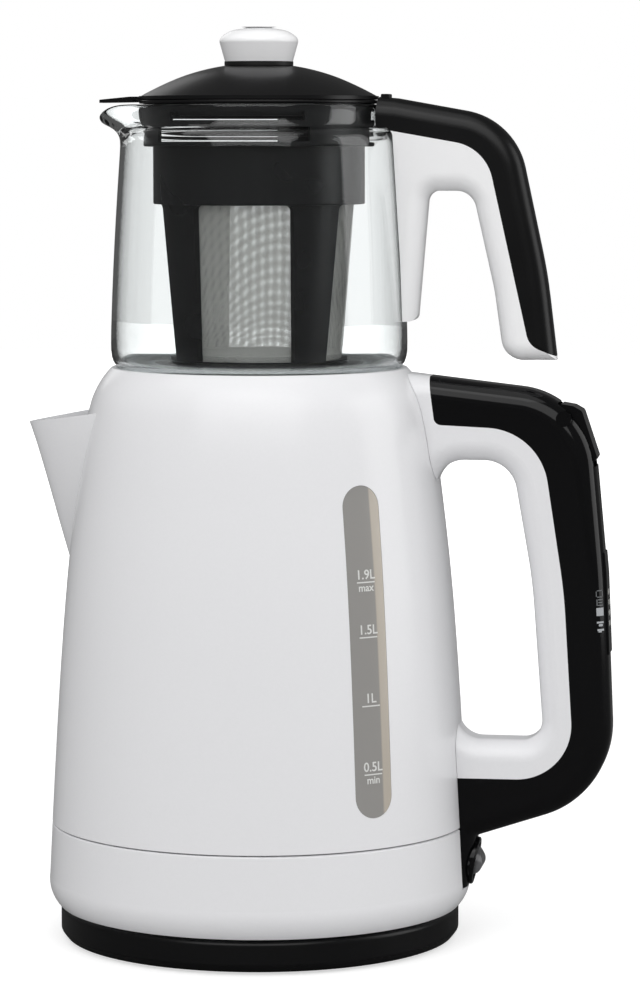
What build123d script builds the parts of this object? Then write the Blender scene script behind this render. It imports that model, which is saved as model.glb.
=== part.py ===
from build123d import *
import os
from math import atan2, cos, degrees, hypot, radians, sin

# Automatic tea maker: a cordless kettle on its power base, with a glass teapot, tea filter and lid on top.
# Millimetres. The origin is on the kettle's axis at the resting plane, +X runs towards the handles and +Z up.

# ---------------------------------------------------------------- driving dimensions
# clearances
mating_gap = 0.2        # between parts that lift off each other
swivel_gap = 0.4        # radial, between parts that turn past each other
slip_gap = 0.1          # between fixed parts that slide together
pin_gap = 0.05          # radial running fit of a pin
wall_gap = 0.1          # between the kettle's curved wall and what is fixed to it

# power base
base_inset = 0.7        # its side inside the skirt's lower edge
base_top = 13.6
base_wall = 2.4
ground_gap = 1.2
base_lip = 4.4          # thickness of the lower edge
base_cover_t = 2.0
boss_r = 27.0
boss_h = 3.4
foot_r = 7.0
foot_ring_r = 60.0
foot_count = 3          # on the ring, and one more under the connector
base_screw_ring_r = 44.0
base_post_r = 4.0

# cordless connector
tower_r = 16.5
tower_h = 10.0
tower_slot_r = (10.2, 13.6)
tower_hole_r = 4.4
tower_flange_r = 21.0
socket_wall = 4.6
contact_t = 0.8
socket_roof_t = 3.0
socket_flange_w = 2.8

# cable gland
gland_r = 3.7
gland_rim = 0.25
gland_out = 2.6
gland_bore_r = 2.9

# kettle wall, outer line from the seam up to the rim as (radius, height)
wall_line = [(83.85, 47.9), (82.05, 80.0), (79.65, 117.0), (76.6, 153.0), (72.8, 185.3),
             (68.7, 211.5), (66.7, 218.7), (63.4, 225.2), (59.2, 230.5)]
wall_t = 2.8
rim_z = wall_line[-1][1]
rim_inner_r = 56.6
rim_depth = 5.1
seat_ledge_r = 53.0
seat_ledge_t = 2.4
seam_gap = 0.6
seam_round = 0.7        # of the skirt's upper edge
lip_inset = 2.95        # of the lip that the skirt slides over, from the seam's radius
lip_depth = 5.4
pocket_wall = 1.7
floor_z = 50.4          # top of the heater plate: the level of no water
plate_ledge_w = 3.2
plate_ledge_t = 2.6
plate_seal_t = 1.5
plate_t = 1.0
plate_rim_h = 3.9
diffuser_r = 56.0
diffuser_t = 3.0
element_ring_r = 44.0
element_r = 3.8
element_arc = 300.0
thermostat_r = 19.0
stud_r = 3.2
stud_ring_r = 64.0
stud_count = 3
screw_r = 1.4
screw_head_r = 3.0
screw_head_h = 1.6

# kettle skirt and bottom
skirt_swell = 1.1       # beyond the radius at the seam
skirt_bulge_z = 26.0
skirt_bottom_z = 14.5
skirt_tuck = 3.75       # of its lower edge, inside the swell
skirt_edge_w = 2.3
skirt_wall = 2.7
bottom_t = 2.4
support_wall_t = 2.0

# teapot seat
mouth_r = 42.0
seat_ring_t = 3.0
gasket_inset = 3.0      # from the ledge that the ring hangs on
gasket_w = 4.0

# kettle spout: height, reach of the nose, half angle that it takes of the wall
spout_rows = [(150.0, 77.3, 3.0), (163.0, 81.0, 12.0), (178.0, 85.2, 20.0), (196.0, 90.4, 28.0),
              (216.0, 97.6, 34.0)]
spout_wall = 2.2
spout_lip_z = (207.5, 213.9)    # at the nose, at the wall
spout_opening_top_z = 209.0     # of its hole in the kettle's wall
spout_root_depth = 8.0  # of its root behind the wall, all of it cut away inside

# water level window
window_angle = -47.8
window_z = (68.3, 179.9)        # centres of its round ends
window_w = 16.6
window_flange = 3.0
window_seal_t = 0.8

# spout filter
filter_plane_x = -60.0
filter_sheet_t = 2.0
filter_z = (158.0, 206.0)
filter_border = 5.0

# kettle handle, side outlines as (x, z, corner radius)
handle_outline = [(54.0, 229.6, 0), (133.2, 220.5, 34), (139.9, 150.0, 300), (143.7, 62.0, 38),
                  (88.9, 43.8, 2), (85.3, 22.9, 0), (70.0, 22.9, 0), (70.0, 60.0, 0), (54.0, 200.0, 0)]
handle_hole = [(71.2, 194.5, 11), (102.3, 194.5, 13), (110.7, 147.0, 200), (115.6, 83.0, 8), (81.4, 83.0, 10)]
handle_split = [(68.6, 236.0, 0), (72.3, 208.9, 3), (114.1, 207.0, 25), (124.0, 143.0, 200),
                (128.6, 68.2, 22), (60.0, 67.8, 0), (60.0, 10.0, 0), (170.0, 10.0, 0), (170.0, 236.0, 0)]
handle_w = 24.8
handle_round = 8.0
handle_wall = 2.4
cover_screw_x = (99.0, 112.0)

# thumb button
button_outline = [(121.6, 217.4, 0.6), (126.8, 216.5, 0), (130.2, 214.6, 2), (136.3, 196.4, 0.9),
                  (135.0, 194.2, 0.8), (132.2, 195.6, 0.5), (126.2, 208.3, 0), (120.4, 210.4, 1)]
button_pivot = (123.4, 211.8)
button_w = 14.4
button_lug_gap = 6.4
button_window = [(120.9, 218.6, 0), (127.0, 220.0, 0), (140.0, 214.0, 0), (140.0, 192.7, 0),
                 (131.0, 192.7, 0), (125.4, 207.5, 0), (119.6, 209.8, 0)]
button_gap = 0.5        # at its sides
pin_r = 1.25
coil_wire_r = 0.35
coil_pitch = 0.95
coil_turns = 4.25
coil_leg = 5.0
coil_room = 3.2         # from the pin to the room's far side

# light panel in the handle's back
panel_z = (118.0, 158.5)
panel_w = 13.0
panel_t = 1.6
panel_proud = 0.4
light_z = (142.5, 138.3, 134.1, 129.9)
light_w = 4.6
light_h = 1.9
board_depth = 6.2
board_t = 1.6
board_post_z = (122.5, 151.5)

# round rocker switch in the foot
switch_z = 32.8
bezel_r = 9.6
bezel_t = 1.5
bezel_bore_r = 7.4
barrel_r = 8.6
barrel_depth = 6.0
rocker_r = 6.5
rocker_crown = (5.6, 6.4, 5.0)  # of its dome: half width, height before rounding, rounding
rocker_depth = 2.6
rocker_pivot_depth = 1.5
rocker_pin_r = 1.0
rocker_swing = 12.0     # degrees each side of level

# teapot glass as (radius, height)
pot_bottom_z = rim_z - 1.3
pot_base_t = 2.2
pot_wall = 1.9
pot_corner_r = 8.0
pot_foot_r = 59.75
pot_waist = (58.3, 272.0)
pot_waist_round = 400.0
pot_shoulder = (54.9, 325.3)
pot_shoulder_round = 3.2
neck_r = 48.4
neck_round = 2.2        # where it meets the shoulder
neck_top_z = 335.0
# pouring lip rows: x, half width, low z, high z
pot_lip_rows = [(-43.0, 17.0, 314.0, 334.9), (-53.0, 13.0, 321.5, 334.9), (-60.0, 9.5, 326.4, 333.9),
                (-64.8, 5.5, 327.6, 330.6)]
pot_lip_wall = 1.7

# teapot handle, side outlines as (x, z, corner radius)
grip_outline = [(46.0, 338.1, 0), (56.0, 337.3, 0), (102.4, 329.0, 29), (115.6, 268.0, 200),
                (119.7, 234.4, 0), (98.8, 234.1, 9), (94.8, 262.0, 80), (85.9, 300.9, 8), (68.6, 300.9, 4.5),
                (64.2, 249.3, 0), (46.0, 249.3, 0)]
grip_split = [(40.0, 327.0, 0), (91.7, 317.9, 18), (109.2, 240.3, 8), (135.0, 229.4, 0), (135.0, 350.0, 0),
              (40.0, 350.0, 0)]
grip_w = 18.0
grip_round = 7.2
grip_leg_round = 3.6    # of the leg's lower end
grip_wall = 2.2
grip_pad_t = 0.5
grip_pad_z = (255.0, 316.0)
grip_pad_w = 12.0
thumb_rib_x = (49.6, 52.8)
thumb_rib_h = 0.9
grip_screw_x = 112.0
grip_screw_top = 249.0

# tea filter
collar_r = 46.0
collar_t = 1.6
collar_bottom_z = 318.7
filter_flange_r = 47.7
filter_flange_t = 1.4
band_r = 42.2
band_bottom_z = 295.5
cage_step = 1.8         # of the cage inside the band
cage_taper = 5.0
cage_floor_gap = 0.9    # above the glass
cage_ring_h = 3.4
cage_ring_w = 2.6
cage_lip_h = 0.8        # of the lip that the mesh stands on
rib_t = 2.2
rib_count = 4
rib_top_w = 22.0
rib_bottom_w = 15.0
rib_top_round = 2.4     # where a rib meets the band
mesh_t = 0.5
# rows of collar slots: low z, high z, front middle and width, back middle and width in degrees
slot_rows = [(320.5, 325.3, -96.7, 84.0), (328.6, 331.9, -92.9, 70.5)]
back_slots = [(31.0, 82.0), (131.0, 82.0)]      # middle and width: a narrow bridge between them

# lid
lid_flange_r = 47.7
lid_line = [(47.0, 338.2), (42.5, 340.6), (37.3, 343.1), (31.4, 345.6), (24.4, 347.9), (13.0, 350.3)]
lid_wall = 1.8
lid_skirt_r = 43.8
lid_skirt_depth = 6.5
tongue_reach = 64.0
tongue_root_w = 30.0
tongue_tip_w = 13.0
tongue_t = 1.2
knob_seal_r = 13.7
knob_line = [(13.5, 351.9), (15.6, 359.4), (15.2, 361.2), (13.7, 362.6), (10.3, 364.2), (5.2, 365.3),
             (0.0, 365.6)]
lid_screw_r = 1.8

# ---------------------------------------------------------------- worked out from them
seam_r = wall_line[0][0]
skirt_bulge_r = seam_r + skirt_swell
skirt_bottom_r = skirt_bulge_r - skirt_tuck
skirt_hole_r = skirt_bottom_r - skirt_edge_w
base_r = skirt_bottom_r - base_inset
lip_r = seam_r - lip_inset
plate_pocket_r = lip_r - pocket_wall
plate_ledge_r = plate_pocket_r - plate_ledge_w
gasket_r = (seat_ledge_r - gasket_inset - gasket_w, seat_ledge_r - gasket_inset)
cage_top_r = band_r - cage_step
cage_bottom_r = cage_top_r - cage_taper
cage_bottom_z = pot_bottom_z + pot_base_t + cage_floor_gap
beyond = 2 * base_r     # further than any part reaches
tower_base_z = base_top + boss_h
tower_top = tower_base_z + tower_h
kettle_under_z = base_top + mating_gap
kettle_recess_z = tower_base_z + 0.8
socket_r = tower_r + 0.5 + socket_wall
socket_roof_z = tower_top + 0.6
socket_top = socket_roof_z + socket_roof_t
plate_under_z = floor_z - plate_t
diffuser_z = plate_under_z - diffuser_t
screw_fit_r = screw_r + slip_gap
rim_seat_z = rim_z - rim_depth
filter_rest_z = neck_top_z + mating_gap
lid_rest_z = filter_rest_z + filter_flange_t + mating_gap
handle_half = handle_w / 2
foot_top, foot_low = handle_outline[4], handle_outline[5]
switch_x = foot_low[0] + (foot_top[0] - foot_low[0]) * (switch_z - foot_low[1]) / (foot_top[1] - foot_low[1])
switch_tilt = degrees(atan2(foot_top[0] - foot_low[0], foot_top[1] - foot_low[1]))
grip_half = grip_w / 2


# ---------------------------------------------------------------- helpers
def outline(plane, corners):
    """Closed sketch on a plane of (across, up, corner radius) points."""
    with BuildSketch(plane) as sketch:
        with BuildLine():
            FilletPolyline(*[(a, b) for a, b, _ in corners], radius=[c for _, _, c in corners], close=True)
        make_face()
    return sketch.sketch


def turned(corners, mode=Mode.ADD, arc=360.0):
    """Revolve an outline of (radius, height, corner radius) points about the vertical axis."""
    revolve(outline(Plane.XZ, corners), axis=Axis.Z, revolution_arc=arc, mode=mode)


def side_plate(corners, half_width, mode=Mode.ADD):
    """Extrude a side outline to both sides of the handles' plane."""
    extrude(outline(Plane.XZ, corners), amount=half_width, both=True, mode=mode)


def pegs(radius, low, high, ring_r, count, start=0.0, mode=Mode.ADD):
    """Upright round pegs on a ring."""
    with BuildSketch(Plane.XY.offset(low)) as feet:
        with PolarLocations(ring_r, count, start_angle=start):
            Circle(radius)
    extrude(feet.sketch, amount=high - low, mode=mode)


def peg(radius, low, high, x=0.0, y=0.0, mode=Mode.ADD):
    """One upright round peg."""
    with BuildSketch(Plane.XY.offset(low)) as foot:
        with Locations((x, y)):
            Circle(radius)
    extrude(foot.sketch, amount=high - low, mode=mode)


def set_in(line, depth):
    """A wall line moved inwards by depth, square to its neighbours' chord."""
    moved = []
    for i, (r, z) in enumerate(line):
        r0, z0 = line[max(i - 1, 0)]
        r1, z1 = line[min(i + 1, len(line) - 1)]
        length = hypot(r1 - r0, z1 - z0)
        moved.append((r - depth * (z1 - z0) / length, z + depth * (r1 - r0) / length))
    moved[0] = (moved[0][0], line[0][1])
    return moved


def line_at(line, z):
    """Radius of a wall line at a height, straight between its points."""
    for (r0, z0), (r1, z1) in zip(line, line[1:]):
        if z0 <= z <= z1:
            return r0 + (r1 - r0) * (z - z0) / (z1 - z0)
    return line[-1][0]


def kettle_core(depth, mode=Mode.ADD):
    """The solid inside the kettle's wall line set in by depth, from the seam to the rim."""
    line = set_in(wall_line, depth)
    with BuildSketch(Plane.XZ) as half:
        with BuildLine():
            Spline(*line)
            Polyline(line[-1], (0, line[-1][1]), (0, line[0][1]), line[0])
        make_face()
    revolve(half.sketch, axis=Axis.Z, mode=mode)


def lip_z_at(reach):
    """Height of the spout's edge at a distance from the axis."""
    low, high = spout_lip_z
    nose = line_at([(r, z) for z, r, _ in spout_rows], low)
    wall = line_at(wall_line, high) * cos(radians(spout_rows[-1][2]))
    return low + (high - low) * (nose - reach) / (nose - wall)


def spout_loft(depth, mode=Mode.ADD):
    """The wedge of the spout, its faces set in by depth, with rounded flanks."""
    rows = []
    for z, reach, half_angle in spout_rows:
        wall = line_at(wall_line, min(z, rim_z))
        nose = -(reach - 1.3 * depth)
        side_x = -(wall - 1.0) * cos(radians(half_angle))
        side_y = max((wall - 1.0) * sin(radians(half_angle)) - depth, 0.8)
        root_x = side_x + spout_root_depth
        bulge_x = nose * 0.45 + side_x * 0.55
        bulge_y = side_y * 0.60 + 0.3
        with BuildSketch(Plane.XY.offset(z)) as row:
            with BuildLine():
                Spline((side_x, -side_y), (bulge_x, -bulge_y), (nose, 0), (bulge_x, bulge_y),
                       (side_x, side_y))
                Polyline((side_x, side_y), (root_x, side_y * 0.8), (root_x, -side_y * 0.8), (side_x, -side_y))
            make_face()
        rows.append(row.sketch)
    loft(rows, mode=mode)


def window_slot(border, mode=Mode.INTERSECT):
    """A level window outline, grown by border, pushed out through the kettle's wall."""
    turn = radians(window_angle)
    face = Plane(origin=(0, 0, sum(window_z) / 2), x_dir=(0, 0, 1), z_dir=(cos(turn), sin(turn), 0))
    with BuildSketch(face) as slot:
        SlotOverall(window_z[1] - window_z[0] + window_w + 2 * border, window_w + 2 * border)
    extrude(slot.sketch, amount=base_r * 1.5, mode=mode)


def switch_plane(height=0.0):
    """Face of the rocker switch, moved out by height."""
    lean = radians(switch_tilt)
    normal = Vector(cos(lean), 0, -sin(lean))
    return Plane(origin=Vector(switch_x, 0, switch_z) + normal * height, x_dir=(0, 1, 0), z_dir=normal)


def upright_plane(angle):
    """Upright plane through the axis, turned by angle degrees from +X."""
    turn = radians(angle)
    return Plane(origin=(0, 0, 0), x_dir=(cos(turn), sin(turn), 0), z_dir=(sin(turn), -cos(turn), 0))


def ring_sector(inner_r, outer_r, low, high, middle, width, mode=Mode.ADD):
    """Part of a ring between two radii and heights, width degrees about the middle angle."""
    corners = [(inner_r, low, 0), (outer_r, low, 0), (outer_r, high, 0), (inner_r, high, 0)]
    revolve(outline(upright_plane(middle - width / 2), corners), axis=Axis.Z, revolution_arc=width, mode=mode)


def ring(inner_r, outer_r, low, high, mode=Mode.ADD):
    """A plain ring, or a disc where the inner radius is 0."""
    turned([(inner_r, low, 0), (outer_r, low, 0), (outer_r, high, 0), (inner_r, high, 0)], mode)


def hollow(corners, openings, half_width, wall, rounding):
    """The room inside a side plate with rounded edges, in two steps that leave the wall all round."""
    step = 0.4 * rounding
    for inset, half in ((wall, half_width - wall - step), (wall + step, half_width - wall)):
        with BuildSketch(Plane.XZ) as room:
            add(outline(Plane.XZ, corners))
            for opening in openings:
                add(outline(Plane.XZ, opening), mode=Mode.SUBTRACT)
            offset(amount=-inset)
        extrude(room.sketch, amount=half, both=True)


def spine_x(z):
    """Outer face of the kettle handle's back at a height."""
    return line_at([handle_outline[3][:2], handle_outline[2][:2], handle_outline[1][:2]], z)


def spine_strip(low, high, depth, thickness, half_width, mode=Mode.ADD):
    """A strip that follows the handle's back between two heights, its outer face depth below it."""
    heights = [high] + [z for z in (handle_outline[2][1],) if low < z < high] + [low]
    front = [(spine_x(z) - depth, z, 0) for z in heights]
    back = [(spine_x(z) - depth - thickness, z, 0) for z in heights[::-1]]
    side_plate(front + back, half_width, mode)


def pot_core(depth, mode=Mode.ADD):
    """The teapot's turned form set in by depth: 0 is the outside, less than 0 keeps other parts away."""
    low = pot_bottom_z + (pot_base_t if depth > 0 else depth)
    top = neck_top_z + (0 if depth == 0 else 10)
    shoulder_z = pot_shoulder[1] - depth
    turned([(0, low, 0), (pot_foot_r - depth, low, max(pot_corner_r - depth, 1.0)),
            (pot_waist[0] - depth, pot_waist[1], pot_waist_round),
            (pot_shoulder[0] - depth, shoulder_z, pot_shoulder_round - depth),
            (neck_r - depth, shoulder_z, max(neck_round + depth, 0.3)),
            (neck_r - depth, top, 0), (0, top, 0)], mode)


def lip_loft(depth, mode=Mode.ADD):
    """The pouring lip's trough, its round underside set in by depth and its top open."""
    rows = []
    for x, half_w, low, high in pot_lip_rows:
        rise = 4.0 if depth else 0.0
        reach = x - (1.0 if depth else 0.0)
        with BuildSketch(Plane.YZ.offset(reach)) as row:
            with BuildLine():
                ThreePointArc((-half_w + depth, high), (0, low + depth), (half_w - depth, high))
                Polyline((half_w - depth, high), (half_w - depth, high + rise + 0.1),
                         (-half_w + depth, high + rise + 0.1), (-half_w + depth, high))
            make_face()
        rows.append(row.sketch)
    loft(rows, mode=mode)


def switch_disc(radius, low, high, mode=Mode.ADD):
    """A disc on the switch's axis between two heights from its face."""
    with BuildSketch(switch_plane(low)) as disc:
        Circle(radius)
    extrude(disc.sketch, amount=high - low, mode=mode)


def finish(piece, name):
    """Label a finished piece and write it out."""
    piece.part.label = name
    export_step(piece.part, f"parts/{name}.step")


os.makedirs("parts", exist_ok=True)

# ---------------------------------------------------------------- power base
base_cover_top = ground_gap + base_cover_t
base_inner_top = base_top - base_wall
gland_z = (base_cover_top + base_inner_top) / 2

with BuildPart() as base_shell:
    turned([
        (tower_r + slip_gap, tower_base_z, 0.6),
        (boss_r, tower_base_z, 1.2),
        (boss_r + 1.4, base_top, 1.0),
        (base_r, base_top, 2.0),
        (base_r, ground_gap + 2.8, 1.5),
        (base_r - 2.2, ground_gap, 0.6),
        (base_r - base_lip, ground_gap, 0),
        (base_r - base_lip, base_cover_top + 1.2, 0),
        (base_r - base_wall, base_cover_top + 3.2, 0),
        (base_r - base_wall, base_inner_top, 0),
        (boss_r, base_inner_top, 0),
        (boss_r - 1.4, tower_base_z - base_wall, 0),
        (tower_r + slip_gap, tower_base_z - base_wall, 0),
    ])
    pegs(base_post_r, base_cover_top + slip_gap, base_inner_top + 0.5, base_screw_ring_r, foot_count, 60)
    pegs(screw_fit_r, base_cover_top, base_inner_top, base_screw_ring_r, foot_count, 60, Mode.SUBTRACT)
    with BuildSketch(Plane.XZ.offset(-base_r + 12)):
        with Locations((0, gland_z)):
            Circle(gland_r + slip_gap)
    extrude(amount=-16, mode=Mode.SUBTRACT)
finish(base_shell, "base_shell")

with BuildPart() as base_bottom_cover:
    peg(base_r - base_lip - slip_gap, ground_gap, base_cover_top)
    pegs(foot_r + slip_gap, ground_gap, ground_gap + 0.8, foot_ring_r, foot_count, 0, Mode.SUBTRACT)
    peg(foot_r + slip_gap, ground_gap, ground_gap + 0.8, mode=Mode.SUBTRACT)
    pegs(screw_fit_r, ground_gap, base_cover_top, base_screw_ring_r, foot_count, 60, Mode.SUBTRACT)
    pegs(screw_head_r + slip_gap, ground_gap, ground_gap + 1.2, base_screw_ring_r, foot_count, 60,
         Mode.SUBTRACT)
finish(base_bottom_cover, "base_bottom_cover")

with BuildPart() as base_feet:
    pegs(foot_r, 0, ground_gap + 0.8, foot_ring_r, foot_count)
    peg(foot_r, 0, ground_gap + 0.8)
    fillet(base_feet.edges().group_by(Axis.Z)[0], radius=0.6)
finish(base_feet, "base_feet")

with BuildPart() as base_screws:
    pegs(screw_head_r, ground_gap, ground_gap + 1.2, base_screw_ring_r, foot_count, 60)
    pegs(screw_r, ground_gap + 1.2, base_inner_top - 1.0, base_screw_ring_r, foot_count, 60)
    with BuildSketch(Plane.XY.offset(ground_gap)):
        with PolarLocations(base_screw_ring_r, foot_count, start_angle=60):
            Rectangle(3.4, 0.8)
            Rectangle(0.8, 3.4)
    extrude(amount=0.7, mode=Mode.SUBTRACT)
finish(base_screws, "base_screws")

flange_z = tower_base_z - base_wall
with BuildPart() as power_connector:
    peg(tower_flange_r, flange_z - 2.0, flange_z)
    peg(tower_r, base_cover_top + slip_gap, tower_top)
    ring(*tower_slot_r, tower_base_z + 0.4, tower_top + 1, Mode.SUBTRACT)
    peg(tower_hole_r, tower_base_z + 0.4, tower_top, mode=Mode.SUBTRACT)
    fillet(power_connector.edges().filter_by(GeomType.CIRCLE).group_by(Axis.Z)[-1].sort_by(SortBy.RADIUS)[-1],
           radius=1.0)
finish(power_connector, "power_connector")

ring_contact_z = (tower_base_z + 0.4, tower_top - 2.0)
with BuildPart() as connector_contacts:
    ring(tower_slot_r[1] - contact_t, tower_slot_r[1], *ring_contact_z)
    ring(tower_hole_r - contact_t, tower_hole_r, *ring_contact_z)
finish(connector_contacts, "connector_contacts")

with BuildPart() as cord_gland:
    with BuildSketch(Plane.XZ.offset(-(base_r - 6.0))):
        with Locations((0, gland_z)):
            Circle(gland_r)
    extrude(amount=-(6.0 + gland_out))
    with BuildSketch(Plane.XZ.offset(-(base_r - 8.0))):
        with Locations((0, gland_z)):
            Circle(gland_r + gland_rim)
    extrude(amount=-2.0)
    with BuildSketch(Plane.XZ.offset(-(base_r - 9.0))):
        with Locations((0, gland_z)):
            Circle(gland_bore_r)
    extrude(amount=-20.0, mode=Mode.SUBTRACT)
    fillet(cord_gland.edges().filter_by(GeomType.CIRCLE).group_by(Axis.Y)[-1], radius=0.3)
finish(cord_gland, "cord_gland")

# ---------------------------------------------------------------- cordless socket
blade_mid_r = (sum(tower_slot_r) - contact_t) / 2
blade_r = (blade_mid_r - contact_t / 2, blade_mid_r + contact_t / 2)
blade_z = (tower_base_z + 1.4, socket_roof_z + 1.6)

with BuildPart() as socket_housing:
    turned([
        (tower_r + 0.5, kettle_recess_z, 0),
        (socket_r, kettle_recess_z, 0.5),
        (socket_r, socket_roof_z + 0.4, 0),
        (socket_r + socket_flange_w, socket_roof_z + 0.4, 0),
        (socket_r + socket_flange_w, socket_top, 0.5),
        (0, socket_top, 0),
        (0, socket_roof_z, 0),
        (tower_r + 0.5, socket_roof_z, 0),
    ])
    ring(*blade_r, socket_roof_z, socket_roof_z + 1.6, Mode.SUBTRACT)
    ring(0, tower_hole_r - 1.4, socket_roof_z, socket_roof_z + 1.6, Mode.SUBTRACT)
finish(socket_housing, "socket_housing")

with BuildPart() as socket_contacts:
    ring(*blade_r, *blade_z)
    peg(tower_hole_r - 1.4, blade_z[0], blade_z[1])
finish(socket_contacts, "socket_contacts")

# ---------------------------------------------------------------- kettle body
inner_line = set_in(wall_line, wall_t)
ledge_z = floor_z + plate_seal_t
lip_bottom_z = wall_line[0][1] - lip_depth


with BuildPart() as spout_solid:
    spout_loft(0.0)
    side_plate([(-beyond, lip_z_at(beyond), 0), (0, lip_z_at(0), 0), (0, rim_z + 10, 0),
                (-beyond, rim_z + 10, 0)], base_r, Mode.SUBTRACT)
    kettle_core(wall_t, Mode.SUBTRACT)

with BuildPart() as wall_above_spout:
    kettle_core(0.0)
    peg(base_r * 1.5, 0, spout_opening_top_z, mode=Mode.SUBTRACT)

with BuildPart() as spout_hollow:
    spout_loft(spout_wall)
    peg(2 * base_r, spout_rows[0][0] - 5, spout_rows[0][0] + 5.5, mode=Mode.SUBTRACT)
    add(wall_above_spout.part, mode=Mode.SUBTRACT)

with BuildPart() as kettle_body:
    with BuildSketch(Plane.XZ):
        with BuildLine():
            Spline(*wall_line)
            Polyline(wall_line[-1], (rim_inner_r, rim_z), (rim_inner_r, rim_seat_z),
                     (seat_ledge_r, rim_seat_z), (seat_ledge_r, rim_seat_z - seat_ledge_t), inner_line[-2])
            Spline(*inner_line[1:-1])
            Polyline(inner_line[1], (inner_line[0][0], ledge_z + plate_ledge_t + 2.0),
                     (plate_ledge_r, ledge_z + plate_ledge_t), (plate_ledge_r, ledge_z),
                     (plate_pocket_r, ledge_z), (plate_pocket_r, lip_bottom_z), (lip_r, lip_bottom_z),
                     (lip_r, wall_line[0][1]), wall_line[0])
        make_face()
    revolve(axis=Axis.Z)
    fillet(kettle_body.edges().filter_by(GeomType.CIRCLE).group_by(Axis.Z)[-1], radius=0.9)
    add(spout_solid.part)
    add(spout_hollow.part, mode=Mode.SUBTRACT)
    window_slot(slip_gap, Mode.SUBTRACT)
finish(kettle_body, "kettle_body")

# ---------------------------------------------------------------- kettle skirt, floor and bottom
skirt_top_z = wall_line[0][1] - seam_gap
ledge_top_z = skirt_bottom_z + 2.9
cover_plate_r = skirt_hole_r - slip_gap
cover_flange_r = skirt_bulge_r - skirt_wall - 0.85
rim_of_plate_z = plate_under_z - plate_rim_h

with BuildPart() as kettle_skirt:
    with BuildSketch(Plane.XZ):
        with BuildLine():
            Line((wall_line[0][0], skirt_top_z), (skirt_bulge_r, skirt_bulge_z))
            ThreePointArc((skirt_bulge_r, skirt_bulge_z), (skirt_bulge_r - 0.9, skirt_bottom_z + 4.3),
                          (skirt_bottom_r, skirt_bottom_z))
            Polyline((skirt_bottom_r, skirt_bottom_z), (skirt_hole_r, skirt_bottom_z),
                     (skirt_hole_r, ledge_top_z), (cover_flange_r + slip_gap, ledge_top_z),
                     (cover_flange_r + slip_gap, lip_bottom_z - 4.0),
                     (lip_r + slip_gap, lip_bottom_z - 3.4), (lip_r + slip_gap, skirt_top_z),
                     (wall_line[0][0], skirt_top_z))
        make_face()
    revolve(axis=Axis.Z)
    fillet(kettle_skirt.edges().filter_by(GeomType.CIRCLE).group_by(Axis.Z)[-1].sort_by(SortBy.RADIUS)[-1],
           radius=seam_round)
    with BuildSketch(Plane.XY.offset(foot_low[1] - slip_gap)):
        with Locations((base_r, 0)):
            Rectangle(24.0, handle_w + 2 * slip_gap)
    extrude(amount=60, mode=Mode.SUBTRACT)
finish(kettle_skirt, "kettle_skirt")

socket_bore_r = socket_r + swivel_gap
recess_r = boss_r + 3.4
with BuildPart() as kettle_bottom_cover:
    turned([
        (socket_bore_r, kettle_recess_z, 0),
        (recess_r, kettle_recess_z, 0.6),
        (recess_r + 0.8, kettle_under_z, 0.8),
        (cover_plate_r, kettle_under_z, 0.8),
        (cover_plate_r, ledge_top_z + slip_gap, 0),
        (cover_flange_r, ledge_top_z + slip_gap, 0),
        (cover_flange_r, ledge_top_z + 2.1, 0),
        (cover_plate_r - 0.2, ledge_top_z + 2.1, 0),
        (cover_plate_r - 0.2, rim_of_plate_z - slip_gap, 0),
        (cover_plate_r - 0.2 - support_wall_t, rim_of_plate_z - slip_gap, 0),
        (cover_plate_r - 0.2 - support_wall_t, kettle_under_z + bottom_t, 0),
        (recess_r + 3.2, kettle_under_z + bottom_t, 0),
        (recess_r + 2.4, kettle_recess_z + bottom_t, 0),
        (socket_bore_r + 2.4, kettle_recess_z + bottom_t, 0),
        (socket_bore_r + 2.4, socket_roof_z - 0.2, 0),
        (socket_bore_r, socket_roof_z - 0.2, 0),
    ])
    pegs(screw_fit_r, 0, 30, stud_ring_r, stud_count, 60, Mode.SUBTRACT)
    pegs(screw_head_r + slip_gap, 0, kettle_under_z + screw_head_h, stud_ring_r, stud_count, 60,
         Mode.SUBTRACT)
finish(kettle_bottom_cover, "kettle_bottom_cover")

with BuildPart() as bottom_screws:
    pegs(screw_head_r, kettle_under_z + 0.2, kettle_under_z + screw_head_h, stud_ring_r, stud_count, 60)
    pegs(screw_r, kettle_under_z + screw_head_h, 32, stud_ring_r, stud_count, 60)
    with BuildSketch(Plane.XY.offset(kettle_under_z + 0.2)):
        with PolarLocations(stud_ring_r, stud_count, start_angle=60):
            Rectangle(3.4, 0.8)
            Rectangle(0.8, 3.4)
    extrude(amount=0.8, mode=Mode.SUBTRACT)
finish(bottom_screws, "bottom_screws")

plate_r = plate_pocket_r - slip_gap
with BuildPart() as heater_plate:
    turned([
        (0, plate_under_z, 0),
        (plate_r - 1.0, plate_under_z, 0.4),
        (plate_r - 1.0, rim_of_plate_z, 0),
        (plate_r, rim_of_plate_z, 0),
        (plate_r, floor_z, 1.2),
        (0, floor_z, 0),
    ])
    pegs(stud_r, kettle_under_z + bottom_t + slip_gap, plate_under_z, stud_ring_r, stud_count, 60)
    pegs(screw_r, 0, 34, stud_ring_r, stud_count, 60, Mode.SUBTRACT)
finish(heater_plate, "heater_plate")

with BuildPart() as heat_spreader:
    peg(diffuser_r, diffuser_z, plate_under_z)
    chamfer(heat_spreader.edges().group_by(Axis.Z)[0], length=0.8)
finish(heat_spreader, "heat_spreader")

with BuildPart() as plate_seal:
    ring(plate_ledge_r + 0.2, plate_pocket_r - 0.2, floor_z, ledge_z)
finish(plate_seal, "plate_seal")

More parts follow.
